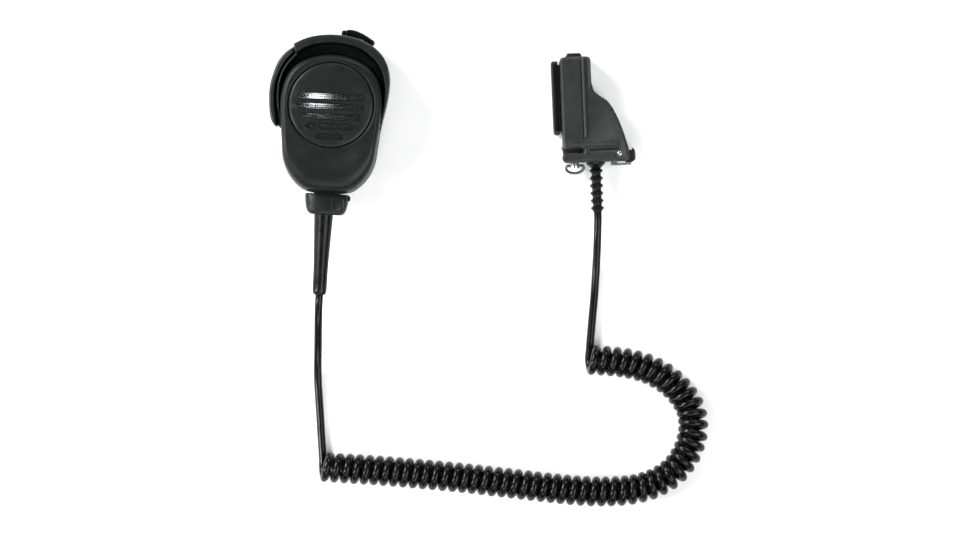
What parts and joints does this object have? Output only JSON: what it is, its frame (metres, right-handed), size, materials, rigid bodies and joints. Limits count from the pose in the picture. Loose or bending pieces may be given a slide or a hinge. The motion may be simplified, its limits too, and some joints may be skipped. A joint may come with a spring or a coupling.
{
  "type": "hand microphone",
  "caption": "Speaker microphone with a round slotted grille, side talk button, jack cover, back clip, curly cord and multi-contact radio connector.",
  "frame": {"origin": "the flat outer face of the clip plate that the microphone lies on, where the speaker's and the swivel's common axis crosses it", "axes": "+Z out of the grille along the speaker's axis, +Y towards the top of the microphone, away from its cord, +X towards the connector"},
  "size_m": [0.2372, 0.2407, 0.0361],
  "materials": {
    "casing_back": "fine-textured moulded plastic, dark grey-green black",
    "casing_front": "fine-textured moulded plastic, dark grey-green black",
    "grille": "satin moulded plastic, slightly smoother than the casing",
    "mesh": "woven wire mesh, grey",
    "dark_rubber": "soft rubber, satin black",
    "cord_jacket": "polyurethane cord jacket, half gloss black",
    "button": "satin plastic, near black",
    "steel": "plain bright steel",
    "spring_steel": "spring wire",
    "nickel": "nickel plate",
    "brass": "turned brass",
    "gold": "gold-plated contacts",
    "board": "green solder mask",
    "component": "moulded component cases",
    "plug_white": "off-white nylon",
    "wire_cover": "coloured wire insulation",
    "paper": "treated speaker cone paper",
    "copper": "enamelled copper winding",
    "magnet": "plated magnet cup",
    "capsule_can": "pressed can",
    "connector_case": "fine-textured moulded plastic, dark grey green",
    "connector_frame": "satin moulded plastic",
    "jack_case": "moulded jack body"
  },
  "bodies": {
    "microphone": {"rear_casing": "casing_back", "front_casing": "casing_front", "casing_seal": "dark_rubber", "casing_screws": "steel", "grille_disc": "grille", "grille_mesh": "mesh", "speaker_frame": "steel", "speaker_cone": "paper", "speaker_magnet": "magnet", "voice_coil": "copper", "speaker_gasket": "dark_rubber", "speaker_screws": "steel", "mic_capsule": "capsule_can", "mic_holder": "dark_rubber", "circuit_board": "board", "board_parts": "component", "board_screws": "steel", "wire_plug": "plug_white", "wire_set": "wire_cover", "talk_pin": "steel", "switch_body": "component", "earphone_jack": "jack_case", "jack_nut": "nickel", "jack_cover_pin": "steel", "clip_insert": "brass", "clip_screw": "steel", "clip_washer": "nickel", "cord_collar": "casing_back", "cord_boot": "dark_rubber", "cord_clamp": "nickel", "cord_tail": "cord_jacket", "cord_mic_lead": "cord_jacket", "cord_coil": "cord_jacket", "cord_radio_lead": "cord_jacket", "connector_front": "connector_case", "connector_back": "connector_case", "connector_screws": "steel", "connector_flange": "connector_frame", "contact_block": "component", "contact_seal": "dark_rubber", "contact_board": "board", "connector_wires": "wire_cover", "connector_clamp": "nickel", "connector_boot": "dark_rubber", "connector_tail": "cord_jacket", "guide_hook": "connector_frame", "release_strap": "nickel"},
    "talk": {"talk_button": "button"},
    "plunger": {"switch_plunger": "plug_white"},
    "jack_lid": {"jack_cover": "button"},
    "clip_arm": {"clip_base": "casing_back", "clip_pin": "steel"},
    "clip_jaw": {"clip_plate": "casing_back", "clip_spring": "spring_steel"},
    "lock": {"lock_screw": "nickel"},
    "ring": {"lock_ring": "nickel"},
    "lock_nut": {"lock_clamp": "nickel"},
    "contacts": {"contact_pins": "gold"},
    "release": {"release_tab": "button", "release_spring": "spring_steel"}
  },
  "joints": [
    {"name": "talk_press", "type": "hinge", "parent": "microphone", "child": "talk", "pos_m": [-0.0213, 0.0202, 0.02], "axis": [0, 0, 1], "range_deg": [0, 2.2], "stiffness_Nm_per_rad": 4, "springref_deg": -1.15},
    {"name": "switch_press", "type": "slide", "parent": "microphone", "child": "plunger", "axis": [1, 0, 0], "range_m": [0, 0.0009]},
    {"name": "jack_cover_open", "type": "hinge", "parent": "microphone", "child": "jack_lid", "pos_m": [0.0046, 0.038, 0.016], "axis": [0, 0, 1], "range_deg": [0, 120]},
    {"name": "clip_swivel", "type": "hinge", "parent": "microphone", "child": "clip_arm", "pos_m": [0, 0, 0.009], "axis": [0, 0, 1], "continuous": true},
    {"name": "clip_open", "type": "hinge", "parent": "clip_arm", "child": "clip_jaw", "pos_m": [0, 0.011, 0.005], "axis": [1, 0, 0], "range_deg": [0, 16], "stiffness_Nm_per_rad": 0.4, "springref_deg": -20.05, "deforming": ["clip_spring"]},
    {"name": "lock_screw_turn", "type": "hinge", "parent": "microphone", "child": "lock", "pos_m": [0.12765, -0.0217, 0.0085], "axis": [-0.0958, 0.9954, 0], "range_deg": [0, 1080]},
    {"name": "lock_ring_flip", "type": "hinge", "parent": "lock", "child": "ring", "pos_m": [0.12787, -0.02399, 0.0085], "axis": [0.9954, 0.0958, 0], "range_deg": [-90, 90]},
    {"name": "lock_nut_slide", "type": "slide", "parent": "microphone", "child": "lock_nut", "axis": [0.0958, -0.9954, 0], "range_m": [0, 0.0015]},
    {"name": "contact_press", "type": "slide", "parent": "microphone", "child": "contacts", "axis": [0.9954, 0.0958, 0], "range_m": [0, 0.0007], "stiffness_N_per_m": 8000, "springref_m": -0.0002},
    {"name": "release_press", "type": "slide", "parent": "microphone", "child": "release", "axis": [-0.9954, -0.0958, 0], "range_m": [0, 0.0015], "stiffness_N_per_m": 1500, "springref_m": -0.001, "deforming": ["release_spring"]}
  ],
  "couplings": [
    {"joint": "switch_press", "follows": "talk_press", "m_per_rad": 0.0232},
    {"joint": "lock_screw_turn", "follows": "lock_nut_slide", "rad_per_m": 12566}
  ]
}
